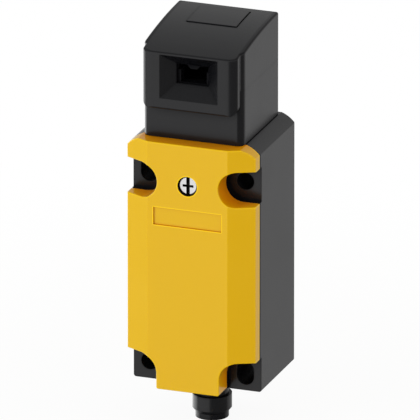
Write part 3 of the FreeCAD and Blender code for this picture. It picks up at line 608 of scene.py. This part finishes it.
# %% Cover screw
FACE_UNSHADED = 0.25 * MM
RIM_UNSHADED = 0.2 * MM
HEAD_HEIGHT = 2 * MM
RECESS_RADIUS = 3.05 * MM
RECESS_SHADE_RAMP = 0.1 * MM
HEAD_END_RAMP = 0.05 * MM
RECESS_SHADE_BLACK = (0.012, 0.011, 0.01)

screw_low, screw_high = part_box("cover_screw")
screw_z = (screw_low.z + screw_high.z) / 2
head_top = screw_low.y
head_end = head_top + HEAD_HEIGHT
cover_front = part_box("front_cover")[0].y
recess_shade_radius = RECESS_RADIUS + RECESS_SHADE_RAMP


def paint_recess_shade(material, unshaded_to):
    """Paint shade in near black round the screw's axis, from just below an unshaded face to the end of the
    head.
    """
    tree = material.node_tree
    place = add_node(tree, "ShaderNodeTexCoord")
    flat = add_node(tree, "ShaderNodeVectorMath", {"operation": "MULTIPLY"})
    flat.inputs[1].default_value = (1, 0, 1)
    from_axis = add_node(tree, "ShaderNodeVectorMath", {"operation": "DISTANCE"})
    from_axis.inputs[1].default_value = (0, 0, screw_z)
    tree.links.new(place.outputs["Object"], flat.inputs[0])
    tree.links.new(flat.outputs[0], from_axis.inputs[0])
    depth = own_axes(tree)[1]
    recess_shade = inside(
        tree,
        (depth, unshaded_to - RECESS_SHADE_RAMP, unshaded_to),
        (depth, head_end + HEAD_END_RAMP, head_end),
        (from_axis.outputs["Value"], recess_shade_radius + RECESS_SHADE_RAMP, recess_shade_radius),
    )
    # Painted shade: near black laid over the slot, the cross and the recess wall.
    lay_over(material, recess_shade, RECESS_SHADE_BLACK)


screw_steel = metal("screw_steel", (0.94, 0.94, 0.95), (0.86, 0.86, 0.88), (0.2, 0.34))
paint_recess_shade(screw_steel, head_top + FACE_UNSHADED)
paint_recess_shade(yellow, cover_front + RIM_UNSHADED)
dress(screw_steel, "cover_screw")
print("head from", round(head_top / MM, 2), "to", round(head_end / MM, 2), "mm")

# %% [markdown]
# ## The screw's thread
# The solid model leaves the shank of the cover screw plain. When the cover comes off, its end shows, so
# it gets a real thread: one low ridge that winds round the shank. A spiral curve with a profile would
# do, but three points per step of a helix, joined to the next step, are just as short and give a
# closed mesh. The ridge grows out of the shank in its first half turn and sinks back in its last.

# %% Screw thread
THREAD_PITCH = 0.7 * MM
RIDGE_HEIGHT = 0.085 * MM
RIDGE_HALF = 0.3 * MM
SHANK_RADIUS = 1.95 * MM
THREAD_GAP = 0.5 * MM
STEPS_PER_TURN = 32
FADE_STEPS = STEPS_PER_TURN // 2

foot_radius = SHANK_RADIUS - RIDGE_HEIGHT / 2
sunk_crest = SHANK_RADIUS - RIDGE_HEIGHT / 4
full_crest = SHANK_RADIUS + RIDGE_HEIGHT
thread_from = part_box("screw_retainer")[1].y + THREAD_GAP
thread_to = screw_high.y - THREAD_GAP
thread_steps = int((thread_to - thread_from) / THREAD_PITCH * STEPS_PER_TURN)
thread_points = []
for step in range(thread_steps + 1):
    turn = 2 * math.pi * step / STEPS_PER_TURN
    along = thread_from + THREAD_PITCH * step / STEPS_PER_TURN
    grown = min(1.0, step / FADE_STEPS, (thread_steps - step) / FADE_STEPS)
    crest_radius = sunk_crest + (full_crest - sunk_crest) * grown
    for shift, radius in ((-RIDGE_HALF, foot_radius), (0, crest_radius), (RIDGE_HALF, foot_radius)):
        thread_points.append((radius * math.cos(turn), along + shift, screw_z + radius * math.sin(turn)))
thread_faces = [(0, 2, 1)]
for step in range(thread_steps):
    near, far = 3 * step, 3 * step + 3
    for first, second in ((0, 1), (1, 2), (2, 0)):
        thread_faces.append((near + first, near + second, far + second, far + first))
last = 3 * thread_steps
thread_faces.append((last, last + 1, last + 2))
thread_mesh = bpy.data.meshes.new("cover_screw_thread")
thread_mesh.from_pydata(thread_points, [], thread_faces)
thread_mesh.shade_smooth()
thread_mesh.materials.append(plated)
thread = bpy.data.objects.new("cover_screw_thread", thread_mesh)
bpy.context.scene.collection.objects.link(thread)
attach(thread, "cover")
print("thread:", round(thread_steps / STEPS_PER_TURN, 1), "turns,", len(thread_faces), "faces")

# %% [markdown]
# ## Rubber
# The seals are dusty black rubber, almost without gloss, a little greyer along their rubbed edges. They
# come out of a mould as well, so the moulded finish with much higher roughness is all they need.

# %% Rubber
rubber = moulded(
    "seal_rubber", (0.02, 0.02, 0.021), (0.03, 0.03, 0.031), (0.045, 0.045, 0.046), (0.65, 0.8),
)
dress(rubber, "head_seal", "plunger_seal", "cover_seal", "plug_seal")

# %% [markdown]
# ## The leads
# Insulated wires run from the terminals to the pins of the plug. The left pair feeds the contacts and
# is brown, the right pair comes back from them and is blue. All four wires are one piece here, so the
# colour follows the side they are on: a step at the middle of the switch picks one of two colours.

# %% Leads
FEED_BROWN = (0.13, 0.05, 0.022)
RETURN_BLUE = (0.03, 0.1, 0.36)

leads = moulded("lead_insulation", (0.85, 0.85, 0.85), (1, 1, 1), (1, 1, 1), (0.32, 0.44))
tree = leads.node_tree
base = tree.nodes["Principled BSDF"].inputs["Base Color"]
on_right = add_node(tree, "ShaderNodeMath", {"operation": "GREATER_THAN"})
on_right.inputs[1].default_value = 0
wire = add_node(tree, "ShaderNodeMix", {"data_type": "RGBA", "blend_type": "MULTIPLY"})
wire.inputs[0].default_value = 1.0
tree.links.new(own_axes(tree)[0], on_right.inputs[0])
tree.links.new(mixed(tree, on_right.outputs[0], FEED_BROWN, RETURN_BLUE), wire.inputs[6])
tree.links.new(base.links[0].from_socket, wire.inputs[7])
tree.links.new(wire.outputs[2], base)
dress(leads, "lead_wires")
